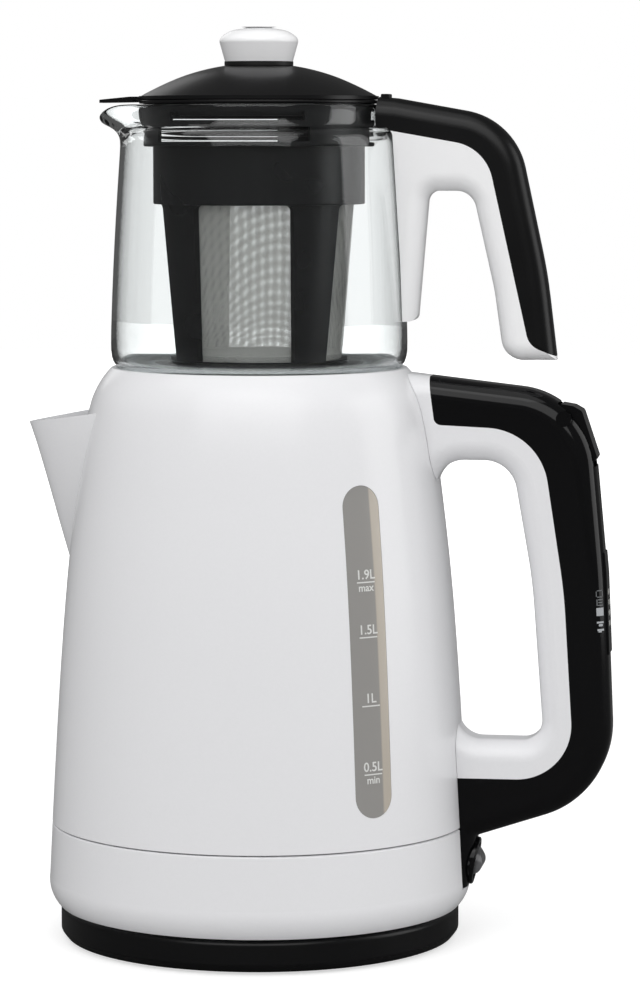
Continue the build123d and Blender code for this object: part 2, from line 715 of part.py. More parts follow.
element_z = diffuser_z - element_r + 0.4
element_start = (360 - element_arc) / 2
with BuildPart() as heating_element:
    with BuildSketch(upright_plane(element_start)):
        with Locations((element_ring_r, element_z)):
            Circle(element_r)
    revolve(axis=Axis.Z, revolution_arc=element_arc)
    for end_angle in (element_start, -element_start):
        peg(1.6, element_z - 9, element_z, element_ring_r * cos(radians(end_angle)),
            element_ring_r * sin(radians(end_angle)))
    peg(diffuser_r, diffuser_z, diffuser_z + 10, mode=Mode.SUBTRACT)
finish(heating_element, "heating_element")

with BuildPart() as thermostat:
    peg(thermostat_r, socket_top + 0.8, socket_top + 8.5)
    fillet(thermostat.edges().group_by(Axis.Z)[-1], radius=1.2)
    pegs(2.6, socket_top + 7.0, diffuser_z, 14.0, 3, 30)
    with BuildSketch(Plane.XY.offset(socket_top + 2.0)):
        with Locations((thermostat_r + 4.0, 6.0), (thermostat_r + 4.0, -6.0)):
            Rectangle(12.0, 5.0)
    extrude(amount=0.8)
finish(thermostat, "thermostat")

# ---------------------------------------------------------------- teapot seat on the kettle
seat_top_z = rim_seat_z + seat_ring_t
with BuildPart() as seat_ring:
    turned([
        (mouth_r, rim_seat_z - 2.0, 0.8),
        (seat_ledge_r - slip_gap, rim_seat_z - 2.0, 0),
        (seat_ledge_r - slip_gap, rim_seat_z, 0),
        (rim_inner_r - slip_gap, rim_seat_z, 0),
        (rim_inner_r - slip_gap, seat_top_z, 0.8),
        (gasket_r[1], seat_top_z, 0),
        (gasket_r[1], seat_top_z - 1.4, 0),
        (gasket_r[0], seat_top_z - 1.4, 0),
        (gasket_r[0], seat_top_z, 0),
        (mouth_r, seat_top_z, 1.2),
    ])
finish(seat_ring, "seat_ring")

with BuildPart() as seat_gasket:
    turned([
        (gasket_r[0], seat_top_z - 1.4, 0),
        (gasket_r[1], seat_top_z - 1.4, 0),
        (gasket_r[1], pot_bottom_z - mating_gap, 0.5),
        (gasket_r[0], pot_bottom_z - mating_gap, 0.5),
    ])
finish(seat_gasket, "seat_gasket")

# ---------------------------------------------------------------- level window
flange_depth = wall_t + wall_gap + window_seal_t
with BuildPart() as window_lug:
    kettle_core(0.15)
    kettle_core(flange_depth + 1.4, Mode.SUBTRACT)
    window_slot(0.0)
with BuildPart() as level_window:
    kettle_core(flange_depth)
    kettle_core(flange_depth + 1.4, Mode.SUBTRACT)
    window_slot(window_flange)
    add(window_lug.part)
finish(level_window, "level_window")

with BuildPart() as window_seal:
    kettle_core(wall_t + wall_gap)
    kettle_core(flange_depth, Mode.SUBTRACT)
    window_slot(window_flange)
    window_slot(slip_gap, Mode.SUBTRACT)
finish(window_seal, "window_seal")

# ---------------------------------------------------------------- spout filter
filter_mid_z = sum(filter_z) / 2
filter_h = filter_z[1] - filter_z[0]
filter_view_w = 40.0
with BuildPart() as scale_filter_frame:
    kettle_core(wall_t + wall_gap)
    with BuildSketch(Plane.YZ.offset(filter_plane_x - filter_sheet_t / 2)):
        with Locations((0, filter_mid_z)):
            Rectangle(2 * base_r, filter_h)
            Rectangle(filter_view_w, filter_h - 2 * filter_border, mode=Mode.SUBTRACT)
            Rectangle(2.4, filter_h)
    extrude(amount=filter_sheet_t, mode=Mode.INTERSECT)
finish(scale_filter_frame, "scale_filter_frame")

with BuildPart() as scale_filter_mesh:
    with BuildSketch(Plane.YZ.offset(filter_plane_x - 0.2)):
        with Locations((0, filter_mid_z)):
            Rectangle(filter_view_w, filter_h - 2 * filter_border)
            Rectangle(2.4, filter_h, mode=Mode.SUBTRACT)
    extrude(amount=0.4)
finish(scale_filter_mesh, "scale_filter_mesh")

# ---------------------------------------------------------------- kettle handle
with BuildPart() as handle_cavity:
    hollow(handle_outline, [handle_hole], handle_half, handle_wall, handle_round)
    kettle_core(-handle_wall, Mode.SUBTRACT)

with BuildPart() as handle_form:
    side_plate(handle_outline, handle_half)
    side_plate(handle_hole, handle_half + 1, Mode.SUBTRACT)
    side_edges = handle_form.faces().filter_by(Axis.Y).edges()
    fillet(side_edges.filter_by(lambda e: e.center().X > handle_hole[0][0]
                                and e.center().Z > foot_top[1] + 4), radius=handle_round)
    add(handle_cavity.part, mode=Mode.SUBTRACT)
    kettle_core(-wall_gap, Mode.SUBTRACT)
    peg(lip_r + slip_gap, 0, wall_line[0][1] + slip_gap, mode=Mode.SUBTRACT)

underside = [foot_top[:2][::-1], handle_outline[3][:2][::-1]]
split_z = handle_split[5][1]
hole_low_z = handle_hole[3][1]

with BuildPart() as kettle_handle_inner:
    add(handle_form.part)
    side_plate(handle_split, 40, Mode.SUBTRACT)
    for x in cover_screw_x:
        peg(screw_r + 2.6, split_z + 0.5, hole_low_z - 1.0, x)
        peg(screw_r, split_z, hole_low_z - 4.0, x, mode=Mode.SUBTRACT)
finish(kettle_handle_inner, "kettle_handle_inner")

with BuildPart() as kettle_handle_cover:
    add(handle_form.part)
    side_plate(handle_split, 40, Mode.INTERSECT)
    for x in cover_screw_x:
        low = line_at(underside, x)
        peg(screw_head_r + 1.6, low + 1.0, split_z - 0.1, x)
        peg(screw_fit_r, low - 4, split_z, x, mode=Mode.SUBTRACT)
        peg(screw_head_r + slip_gap, low - 8, low + 6.0, x, mode=Mode.SUBTRACT)
    with BuildSketch(Plane.XZ.offset(-handle_half)):
        with Locations(button_pivot):
            Circle(3.0)
    extrude(amount=handle_w)
    side_plate(button_window, button_w / 2 + button_gap, Mode.SUBTRACT)
    with BuildSketch(Plane.XZ.offset(-(handle_half - 1.0))):
        with Locations(button_pivot):
            Circle(pin_r)
    extrude(amount=handle_w - 2.0, mode=Mode.SUBTRACT)
    spine_strip(panel_z[0] - slip_gap, panel_z[1] + slip_gap, -2.0, 2.0 + panel_t - panel_proud,
                panel_w / 2 + slip_gap, Mode.SUBTRACT)
    spine_strip(light_z[-1] - 3.0, light_z[0] + 3.0, 0, handle_wall + 0.4, light_w / 2 + 0.8,
                Mode.SUBTRACT)
    for z in board_post_z:
        spine_strip(z - 1.8, z + 1.8, 2.0, board_depth - 2.0, 2.0)
    switch_disc(barrel_r + slip_gap, -20, 3, Mode.SUBTRACT)
finish(kettle_handle_cover, "kettle_handle_cover")

with BuildPart() as handle_screws:
    for x in cover_screw_x:
        low = line_at(underside, x)
        peg(screw_head_r, low + 6.0 - screw_head_h, low + 6.0, x)
        peg(screw_r, low + 6.0, hole_low_z - 5.0, x)
        with BuildSketch(Plane.XY.offset(low + 6.0 - screw_head_h)):
            with Locations((x, 0)):
                Rectangle(3.4, 0.8)
                Rectangle(0.8, 3.4)
        extrude(amount=0.8, mode=Mode.SUBTRACT)
finish(handle_screws, "handle_screws")

# ---------------------------------------------------------------- thumb button
coil_r = pin_r + coil_wire_r + 0.02
coil_room_r = coil_r + coil_wire_r + 0.5
coil_length = coil_turns * coil_pitch

with BuildPart() as button_pin:
    with BuildSketch(Plane.XZ.offset(-(handle_half - 1.0))):
        with Locations(button_pivot):
            Circle(pin_r)
    extrude(amount=handle_w - 2.0)
finish(button_pin, "button_pin")

with BuildPart() as thumb_button:
    side_plate(button_outline, button_w / 2)
    room_x = (button_pivot[0] - 6.0, button_pivot[0] + coil_room)
    room_z = (button_pivot[1] - 6.0, button_pivot[1] + coil_room_r)
    side_plate([(room_x[0], room_z[0], 0), (room_x[1], room_z[0], 0), (room_x[1], room_z[1], 0),
                (room_x[0], room_z[1], 0)], button_lug_gap / 2, Mode.SUBTRACT)
    with BuildSketch(Plane.XZ.offset(-button_w)):
        with Locations(button_pivot):
            Circle(pin_r + pin_gap)
    extrude(amount=2 * button_w, mode=Mode.SUBTRACT)
finish(thumb_button, "thumb_button")

with BuildPart() as button_spring:
    coil = Helix(pitch=coil_pitch, height=coil_length, radius=coil_r,
                 center=(button_pivot[0], -coil_length / 2, button_pivot[1]), direction=(0, 1, 0))
    with BuildSketch(Plane(origin=coil @ 0, z_dir=coil % 0)):
        Circle(coil_wire_r)
    sweep(path=coil)
    with BuildSketch(Plane(origin=coil @ 0, z_dir=-(coil % 0))):
        Circle(coil_wire_r)
    extrude(amount=coil_leg)
    with BuildSketch(Plane(origin=coil @ 1, z_dir=coil % 1)):
        Circle(coil_wire_r)
    extrude(amount=coil_leg)
finish(button_spring, "button_spring")

# ---------------------------------------------------------------- lights in the handle
with BuildPart() as light_panel:
    spine_strip(*panel_z, -panel_proud, panel_t, panel_w / 2)
    fillet(light_panel.edges().filter_by(Axis.Y), radius=0.3)
    for z in light_z:
        spine_strip(z - light_h / 2 - 0.05, z + light_h / 2 + 0.05, -3.0, 6.0, light_w / 2 + 0.05,
                    Mode.SUBTRACT)
finish(light_panel, "light_panel")

with BuildPart() as indicator_lenses:
    for z in light_z:
        spine_strip(z - light_h / 2, z + light_h / 2, -panel_proud - 0.1, board_depth - 0.5, light_w / 2)
finish(indicator_lenses, "indicator_lenses")

with BuildPart() as light_board:
    spine_strip(board_post_z[0] - 3.0, board_post_z[1] + 3.0, board_depth, board_t, 7.0)
    for z in light_z:
        spine_strip(z - 0.7, z + 0.7, board_depth - 0.4, 0.5, 0.8)
finish(light_board, "light_board")

# ---------------------------------------------------------------- rocker switch in the foot
rocker_centre = switch_plane(-rocker_pivot_depth).origin
rocker_pivot = (rocker_centre.X, rocker_centre.Z)
crown_w, crown_h, crown_round = rocker_crown

with BuildPart() as switch_bezel:
    switch_disc(bezel_r, 0, bezel_t)
    fillet(switch_bezel.edges().sort_by(Axis.X)[-1], radius=0.7)
    switch_disc(barrel_r, -barrel_depth, 0)
    switch_disc(bezel_bore_r, 1.2 - barrel_depth, bezel_t, Mode.SUBTRACT)
    with BuildSketch(Plane.XZ):
        with Locations(rocker_pivot):
            Circle(rocker_pin_r + pin_gap)
    extrude(amount=bezel_r, both=True, mode=Mode.SUBTRACT)
finish(switch_bezel, "switch_bezel")

with BuildPart() as rocker_level:
    switch_disc(rocker_r, -rocker_depth, crown_h)
    face = Plane(origin=switch_plane().origin, x_dir=switch_plane().z_dir, z_dir=(0, -1, 0))
    side = [(-rocker_depth, 3.6, 0), (-0.2, rocker_r + 0.4, 0), (0.4, rocker_r + 0.4, 0), (0.8, crown_w, 0)]
    mirror_side = [(a, -b, c) for a, b, c in side[::-1]]
    extrude(outline(face, side + [(crown_h, 0, crown_round)] + mirror_side),
            amount=bezel_r, both=True, mode=Mode.INTERSECT)
    with BuildSketch(Plane.XZ):
        with Locations(rocker_pivot):
            Circle(rocker_pin_r)
    extrude(amount=bezel_bore_r + 0.5, both=True)
with BuildPart() as power_rocker:
    with Locations(Location((rocker_pivot[0], 0, rocker_pivot[1]), (0, rocker_swing, 0))):
        add(rocker_level.part.moved(Location((-rocker_pivot[0], 0, -rocker_pivot[1]))))
finish(power_rocker, "power_rocker")

# ---------------------------------------------------------------- glass teapot
with BuildPart() as glass_pot:
    pot_core(0)
    lip_loft(0)
    pot_core(pot_wall, Mode.SUBTRACT)
    lip_loft(pot_lip_wall, Mode.SUBTRACT)
finish(glass_pot, "glass_pot")

# ---------------------------------------------------------------- teapot handle
with BuildPart() as grip_cavity:
    hollow(grip_outline, [], grip_half, grip_wall, grip_round)
    pot_core(-grip_pad_t - grip_wall, Mode.SUBTRACT)

leg_top, leg_foot = grip_outline[8], grip_outline[9]
leg_side = [leg_foot[:2], leg_top[:2]]
bite_top = leg_foot[1] + 2 * grip_leg_round

with BuildPart() as grip_form:
    side_plate(grip_outline, grip_half)
    side_edges = grip_form.faces().filter_by(Axis.Y).edges()
    fillet(side_edges.filter_by(lambda e: e.center().X > leg_foot[0]
                                and e.center().Z > grip_outline[4][1] + 1.5), radius=grip_round)
    side_plate([(leg_foot[0] - 2 * grip_leg_round, leg_foot[1], 0), (*leg_foot[:2], grip_leg_round),
                (line_at(leg_side, bite_top), bite_top, 0), (leg_top[0], bite_top, 0),
                (leg_top[0], leg_foot[1] - 1, 0), (leg_foot[0] - 2 * grip_leg_round, leg_foot[1] - 1, 0)],
               grip_half + 1, Mode.SUBTRACT)
    add(grip_cavity.part, mode=Mode.SUBTRACT)
    pot_core(-grip_pad_t, Mode.SUBTRACT)

grip_low_z = grip_outline[5][1]
grip_split_z = grip_split[2][1]
with BuildPart() as pot_handle_inner:
    add(grip_form.part)
    side_plate(grip_split, 40, Mode.SUBTRACT)
    peg(screw_head_r + 0.8, grip_low_z + 1.0, grip_split_z - 2.2, grip_screw_x)
    peg(screw_fit_r, grip_low_z - 1, grip_split_z, grip_screw_x, mode=Mode.SUBTRACT)
    peg(screw_head_r + slip_gap, grip_low_z - 1, grip_low_z + 2.0, grip_screw_x, mode=Mode.SUBTRACT)
finish(pot_handle_inner, "pot_handle_inner")

with BuildPart() as pot_handle_cover:
    add(grip_form.part)
    side_plate(grip_split, 40, Mode.INTERSECT)
    side_plate([(grip_screw_x - 1.5, grip_split_z + 1.2, 0), (grip_screw_x + 5.2, grip_split_z + 1.2, 0),
                (grip_screw_x + 4.6, grip_screw_top + 1.0, 0), (grip_screw_x - 3.6, grip_screw_top + 1.0, 0)],
               grip_half - grip_round + screw_head_r)
    peg(screw_r, grip_split_z, grip_screw_top, grip_screw_x, mode=Mode.SUBTRACT)
    side_plate([(thumb_rib_x[0], grip_outline[0][1] - 1.4, 0), (thumb_rib_x[1], grip_outline[0][1] - 1.4, 0),
                (thumb_rib_x[1], grip_outline[0][1] + thumb_rib_h, 0.5),
                (thumb_rib_x[0], grip_outline[0][1] + thumb_rib_h, 0.5)], 4.5)
finish(pot_handle_cover, "pot_handle_cover")

with BuildPart() as handle_adhesive:
    pot_core(-grip_pad_t)
    pot_core(0, Mode.SUBTRACT)
    with BuildSketch(Plane.XY.offset(grip_pad_z[0])):
        with Locations((neck_r + 6, 0)):
            Rectangle(30.0, grip_pad_w)
    extrude(amount=grip_pad_z[1] - grip_pad_z[0], mode=Mode.INTERSECT)
finish(handle_adhesive, "handle_adhesive")

with BuildPart() as pot_handle_screw:
    peg(screw_head_r, grip_low_z + 0.5, grip_low_z + 2.0, grip_screw_x)
    peg(screw_r, grip_low_z + 2.0, grip_screw_top - 0.6, grip_screw_x)
    with BuildSketch(Plane.XY.offset(grip_low_z + 0.5)):
        with Locations((grip_screw_x, 0)):
            Rectangle(3.4, 0.8)
            Rectangle(0.8, 3.4)
    extrude(amount=0.8, mode=Mode.SUBTRACT)
finish(pot_handle_screw, "pot_handle_screw")

# ---------------------------------------------------------------- tea filter
collar_inner_r = collar_r - collar_t
band_inner_r = band_r - collar_t
mesh_seat_r = cage_top_r - rib_t - 0.8
flange_top_z = filter_rest_z + filter_flange_t
ring_top_z = cage_bottom_z + cage_ring_h
mesh_foot_z = cage_bottom_z + cage_lip_h
cage_line = [(cage_bottom_r - rib_t - 0.02, cage_bottom_z), (cage_top_r - rib_t - 0.02, band_bottom_z + 1)]
mesh_low_r = line_at(cage_line, mesh_foot_z)
mesh_top_r = line_at(cage_line, band_bottom_z)
ring_wall_r = mesh_low_r - mesh_t - 0.02

with BuildPart() as rib_wedges:
    for k in range(rib_count):
        turn = radians(45 + 360 / rib_count * k)
        face = Plane(origin=(0, 0, 0), x_dir=(-sin(turn), cos(turn), 0), z_dir=(cos(turn), sin(turn), 0))
        half = [(rib_bottom_w / 2, cage_bottom_z, 0), (rib_top_w / 2, band_bottom_z, rib_top_round),
                (rib_top_w / 2 + rib_top_round + 1, band_bottom_z, 0),
                (rib_top_w / 2 + rib_top_round + 1, band_bottom_z + 1, 0)]
        extrude(outline(face, [(-a, b, c) for a, b, c in half] + half[::-1]), amount=base_r)

with BuildPart() as filter_collar:
    turned([
        (collar_inner_r, flange_top_z, 0),
        (filter_flange_r, flange_top_z, 0.5),
        (filter_flange_r, filter_rest_z, 0.4),
        (collar_r, filter_rest_z, 0),
        (collar_r, collar_bottom_z, 0.8),
        (band_inner_r, collar_bottom_z, 0),
        (band_inner_r, collar_bottom_z + collar_t, 0),
        (collar_inner_r, collar_bottom_z + collar_t, 0),
    ])
    for low, high, front_middle, front_width in slot_rows:
        for middle, width in [(front_middle, front_width)] + back_slots:
            ring_sector(collar_inner_r - 1, collar_r + 1, low, high, middle, width, Mode.SUBTRACT)
finish(filter_collar, "filter_collar")

with BuildPart() as filter_cage:
    turned([(cage_bottom_r - rib_t, cage_bottom_z, 0), (cage_bottom_r, cage_bottom_z, 0),
            (cage_top_r, band_bottom_z + 1, 0), (cage_top_r - rib_t, band_bottom_z + 1, 0)])
    add(rib_wedges.part, mode=Mode.INTERSECT)
    turned([
        (band_inner_r, collar_bottom_z, 0),
        (band_r, collar_bottom_z, 0),
        (band_r, band_bottom_z, 0.6),
        (mesh_seat_r, band_bottom_z, 0),
        (mesh_seat_r, band_bottom_z + collar_t, 0),
        (band_inner_r, band_bottom_z + collar_t, 0),
    ])
    ring(ring_wall_r - cage_ring_w, cage_bottom_r, cage_bottom_z, mesh_foot_z)
    ring(ring_wall_r - cage_ring_w, ring_wall_r, cage_bottom_z, ring_top_z)
finish(filter_cage, "filter_cage")

with BuildPart() as filter_mesh:
    turned([(mesh_low_r - mesh_t, mesh_foot_z, 0), (mesh_low_r, mesh_foot_z, 0),
            (mesh_top_r, band_bottom_z, 0), (mesh_top_r - mesh_t, band_bottom_z, 0)])
finish(filter_mesh, "filter_mesh")

with BuildPart() as filter_floor:
    peg(ring_wall_r, ring_top_z, ring_top_z + mesh_t)
finish(filter_floor, "filter_floor")

# ---------------------------------------------------------------- lid
lid_under_line = [(r - 0.5, z - lid_wall) for r, z in lid_line[1:]]
lid_top_z = lid_line[-1][1]
skirt_in_r = lid_skirt_r - 1.6
tongue_root_x = lid_skirt_r - lid_wall

with BuildPart() as lid_tongue:
    side_plate([(-tongue_root_x, lid_rest_z, 0), (-tongue_root_x, lid_rest_z + tongue_t, 0),
                (-lid_flange_r - 2.3, lid_rest_z + tongue_t, 20), (-tongue_reach, lid_rest_z, 0.5),
                (-tongue_reach, lid_rest_z - tongue_t, 0), (-lid_flange_r - 0.9, lid_rest_z - 0.9, 0),
                (-lid_flange_r - 0.9, lid_rest_z, 0)], tongue_root_w)
    with BuildSketch(Plane.XY.offset(filter_rest_z - 5)):
        add(outline(Plane.XY, [(-tongue_root_x, tongue_root_w / 2, 0), (-tongue_reach, tongue_tip_w / 2, 4),
                               (-tongue_reach, -tongue_tip_w / 2, 4),
                               (-tongue_root_x, -tongue_root_w / 2, 0)]))
    extrude(amount=20, mode=Mode.INTERSECT)

with BuildPart() as lid_dome:
    with BuildSketch(Plane.XZ):
        with BuildLine():
            Polyline((lid_screw_r + slip_gap, lid_top_z), lid_line[-1])
            Spline(*lid_line[::-1])
            Polyline(lid_line[0], (lid_flange_r, lid_line[0][1]), (lid_flange_r, lid_rest_z),
                     (lid_skirt_r, lid_rest_z), (lid_skirt_r, lid_rest_z - lid_skirt_depth),
                     (skirt_in_r, lid_rest_z - lid_skirt_depth), (skirt_in_r, lid_rest_z + 1.2),
                     lid_under_line[0])
            Spline(*lid_under_line)
            Polyline(lid_under_line[-1], (lid_screw_r + slip_gap, lid_top_z - lid_wall),
                     (lid_screw_r + slip_gap, lid_top_z))
        make_face()
    revolve(axis=Axis.Z)
    add(lid_tongue.part)
finish(lid_dome, "lid_dome")

with BuildPart() as knob_seal:
    ring(lid_screw_r + slip_gap, knob_seal_r, lid_top_z, knob_line[0][1])
finish(knob_seal, "knob_seal")

knob_top_z = knob_line[-1][1]
knob_side = (knob_line[1][0] - knob_line[0][0], knob_line[1][1] - knob_line[0][1])
with BuildPart() as lid_knob:
    with BuildSketch(Plane.XZ):
        with BuildLine():
            Line(knob_line[0], knob_line[1])
            Spline(*knob_line[1:], tangents=[knob_side, (-1, 0)])
            Polyline(knob_line[-1], (0, knob_line[0][1]), knob_line[0])
        make_face()
    revolve(axis=Axis.Z)
    peg(lid_screw_r, knob_line[0][1], knob_top_z - 4.0, mode=Mode.SUBTRACT)
finish(lid_knob, "lid_knob")

with BuildPart() as knob_screw:
    peg(2 * lid_screw_r, lid_top_z - lid_wall - screw_head_h, lid_top_z - lid_wall)
    fillet(knob_screw.edges().group_by(Axis.Z)[0], radius=0.8)
    peg(lid_screw_r, lid_top_z - lid_wall, knob_top_z - 5.0)
    with BuildSketch(Plane.XY.offset(lid_top_z - lid_wall - screw_head_h)):
        Rectangle(4.4, 0.9)
        Rectangle(0.9, 4.4)
    extrude(amount=0.8, mode=Mode.SUBTRACT)
finish(knob_screw, "knob_screw")
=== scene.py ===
import math
import bmesh
import bpy
from mathutils import Matrix, Vector
from mathutils.bvhtree import BVHTree


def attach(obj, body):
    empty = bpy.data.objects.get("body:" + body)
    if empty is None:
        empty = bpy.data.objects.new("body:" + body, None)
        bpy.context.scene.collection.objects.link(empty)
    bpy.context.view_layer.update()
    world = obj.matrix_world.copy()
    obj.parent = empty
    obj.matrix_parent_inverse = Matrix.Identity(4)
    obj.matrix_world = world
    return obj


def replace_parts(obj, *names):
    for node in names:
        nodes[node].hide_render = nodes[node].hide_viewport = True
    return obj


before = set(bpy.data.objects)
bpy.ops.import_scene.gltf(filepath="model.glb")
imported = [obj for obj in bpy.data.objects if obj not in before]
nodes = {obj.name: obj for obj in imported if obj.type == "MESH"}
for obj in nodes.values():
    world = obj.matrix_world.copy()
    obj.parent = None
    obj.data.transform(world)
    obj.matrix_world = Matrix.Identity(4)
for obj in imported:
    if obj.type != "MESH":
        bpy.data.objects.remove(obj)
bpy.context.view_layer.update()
scene = bpy.context.scene
print("stage 1: packed tea maker loaded")

mm = 0.001


def linear(hexText):
    # sRGB hex to the linear values that the shaders take
    channels = [int(hexText[i:i + 2], 16) / 255 for i in (1, 3, 5)]
    return (*[c / 12.92 if c <= 0.04045 else ((c + 0.055) / 1.055) ** 2.4 for c in channels], 1.0)


def addNode(tree, kind, values=None, links=None, settings=None):
    # one node with its settings, its fixed values and what feeds it
    node = tree.nodes.new(kind)
    for name, value in (settings or {}).items():
        setattr(node, name, value)
    for name, value in (values or {}).items():
        node.inputs[name].default_value = value
    for name, source in (links or {}).items():
        tree.links.new(source, node.inputs[name])
    return node


def newMaterial(name):
    material = bpy.data.materials.new(name)
    material.use_nodes = True
    material.node_tree.nodes.clear()
    return material, material.node_tree


mixA, mixB, mixResult = 6, 7, 2               # colour sockets of a Mix node
mixFactor, mixFirst, mixSecond = 0, 2, 3      # its number sockets
plasticPolish = (0.85, 1.12)                  # shares of the roughness, at the shiniest and dullest spots
metalPolish = (0.8, 1.3)


def blendColours(tree, factor, first, second):
    # two sRGB colours mixed by a factor socket
    return addNode(tree, "ShaderNodeMix", {mixA: linear(first), mixB: linear(second)}, {"Factor": factor},
                   {"data_type": "RGBA"}).outputs[mixResult]


def surfaceOf(material, tree, shader):
    # the shader that the material shows
    addNode(tree, "ShaderNodeOutputMaterial", None, {"Surface": shader})
    return material


def mathOf(tree, operation, *terms):
    # a Math node, each term a number or what feeds it
    values = {i: term for i, term in enumerate(terms) if isinstance(term, float)}
    links = {i: term for i, term in enumerate(terms) if not isinstance(term, float)}
    return addNode(tree, "ShaderNodeMath", values, links, {"operation": operation}).outputs[0]


def placeOf(tree):
    # where the surface is, in the object's own metres
    return addNode(tree, "ShaderNodeTexCoord").outputs["Object"]


def partsOf(tree):
    return addNode(tree, "ShaderNodeSeparateXYZ", None, {"Vector": placeOf(tree)}).outputs


def turnOf(tree, parts):
    # the angle about the kettle's axis
    return mathOf(tree, "ARCTAN2", parts["Y"], parts["X"])


def bumpOf(tree, height, depthMm, below=None):
    # a bump of a real depth, laid over another one
    links = {"Height": height}
    if below:
        links["Normal"] = below
    return addNode(tree, "ShaderNodeBump", {"Strength": 1.0, "Distance": depthMm * mm},
                   links).outputs["Normal"]


def noiseOf(tree, sizeMm, detail=2.0, stretch=None):
    # noise whose blotches are about sizeMm across
    place = placeOf(tree)
    if stretch:
        place = addNode(tree, "ShaderNodeMapping", {"Scale": stretch}, {"Vector": place}).outputs["Vector"]
    return addNode(tree, "ShaderNodeTexNoise", {"Scale": 1 / (sizeMm * mm), "Detail": detail},
                   {"Vector": place}).outputs["Fac"]


def spread(tree, source, low, high, fromLow=0.3, fromHigh=0.7):
    # a noise value spread over a range
    return addNode(tree, "ShaderNodeMapRange",
                   {"From Min": fromLow, "From Max": fromHigh, "To Min": low, "To Max": high},
                   {"Value": source}, {"interpolation_type": "SMOOTHSTEP"}).outputs["Result"]


def mouldedPlastic(name, look):
    # skin of a moulding: fine grain from the tool, a slow ripple from shrinking, uneven polish
    material, tree = newMaterial(name)
    grain = noiseOf(tree, look["grainMm"])
    ripple = noiseOf(tree, look["rippleMm"], 1.0)
    normal = bumpOf(tree, grain, look["grainDepthMm"], bumpOf(tree, ripple, look["rippleDepthMm"]))
    polish = [look["roughness"] * share for share in plasticPolish]
    shader = addNode(tree, "ShaderNodeBsdfPrincipled",
                     {"IOR": look["ior"], "Specular IOR Level": look.get("specular", 0.5)},
                     {"Base Color": blendColours(tree, grain, look["colour"], look["shade"]),
                      "Roughness": spread(tree, ripple, *polish, 0.0, 1.0),
                      "Normal": normal})
    return surfaceOf(material, tree, shader.outputs["BSDF"])


# ABS, polished tool: white with a wet gloss, the ripple just bends its reflections
whiteLook = {"colour": "#EBEBED", "shade": "#E8E8EA", "roughness": 0.24, "ior": 1.53,
             "grainMm": 1.2, "grainDepthMm": 0.002, "rippleMm": 26.0, "rippleDepthMm": 0.03}
glossWhite = mouldedPlastic("whiteAbsGlossMoulded", whiteLook)
# a lighter copy of the same white for the small parts: painted light that brightens them beyond what the
# lamps give
paintedLightWhite = mouldedPlastic("paintedLightWhiteAbsGlossMoulded", {**whiteLook, "colour": "#F7F7F8", "shade": "#F5F5F6"})
# ABS, polished tool: deep black that mirrors the lamps
glossBlack = mouldedPlastic("blackAbsGlossMoulded", {
    "colour": "#0B0B0C", "shade": "#0E0E0F", "roughness": 0.1, "ior": 1.53, "specular": 0.3,
    "grainMm": 1.0, "grainDepthMm": 0.0015, "rippleMm": 22.0, "rippleDepthMm": 0.02})
# polypropylene, satin tool: black with a broad soft highlight
satinBlack = mouldedPlastic("blackPolypropyleneSatinMoulded", {
    "colour": "#0D0D0E", "shade": "#111112", "roughness": 0.3, "ior": 1.49, "specular": 0.35,
    "grainMm": 0.5, "grainDepthMm": 0.006, "rippleMm": 20.0, "rippleDepthMm": 0.03})
# PBT, spark-eroded tool: dull black
connectorBlack = mouldedPlastic("blackPbtMattMoulded", {
    "colour": "#1C1C1D", "shade": "#222223", "roughness": 0.52, "ior": 1.55,
    "grainMm": 0.4, "grainDepthMm": 0.012, "rippleMm": 9.0, "rippleDepthMm": 0.02})
# polypropylene, lightly textured tool: plain grey of parts that stay out of sight
mouldedGrey = mouldedPlastic("greyPolypropyleneMoulded", {
    "colour": "#8F8F8D", "shade": "#959593", "roughness": 0.45, "ior": 1.49,
    "grainMm": 0.6, "grainDepthMm": 0.01, "rippleMm": 15.0, "rippleDepthMm": 0.03})
# polypropylene with a fine tool texture: light grey filter frame
filterGrey = mouldedPlastic("lightGreyPolypropyleneMoulded", {
    "colour": "#B9B9B8", "shade": "#BEBEBD", "roughness": 0.38, "ior": 1.49,
    "grainMm": 0.6, "grainDepthMm": 0.008, "rippleMm": 12.0, "rippleDepthMm": 0.02})
# silicone, moulded: soft milky grey with a dry sheen
silicone = mouldedPlastic("milkySiliconeMoulded", {
    "colour": "#C9C9C6", "shade": "#C2C2BF", "roughness": 0.55, "ior": 1.41,
    "grainMm": 0.5, "grainDepthMm": 0.01, "rippleMm": 6.0, "rippleDepthMm": 0.03})
# silicone, moulded: black with a dry sheen
blackSilicone = mouldedPlastic("blackSiliconeMoulded", {
    "colour": "#161616", "shade": "#1B1B1B", "roughness": 0.5, "ior": 1.41,
    "grainMm": 0.5, "grainDepthMm": 0.01, "rippleMm": 6.0, "rippleDepthMm": 0.03})
# silicone adhesive, cured between glass and handle: cloudy
adhesive = mouldedPlastic("curedSiliconeAdhesive", {
    "colour": "#B4B6B6", "shade": "#A7A9A9", "roughness": 0.4, "ior": 1.41,
    "grainMm": 2.0, "grainDepthMm": 0.04, "rippleMm": 7.0, "rippleDepthMm": 0.06})


def passingLight(tree, shader, lampColour):
    # the lamps shine through the piece, tinted
    through = addNode(tree, "ShaderNodeBsdfTransparent", {"Color": linear(lampColour)})
    rays = addNode(tree, "ShaderNodeLightPath")
    both = addNode(tree, "ShaderNodeMixShader", None, {
        0: rays.outputs["Is Shadow Ray"], 1: shader.outputs["BSDF"], 2: through.outputs["BSDF"]})
    return both.outputs["Shader"]


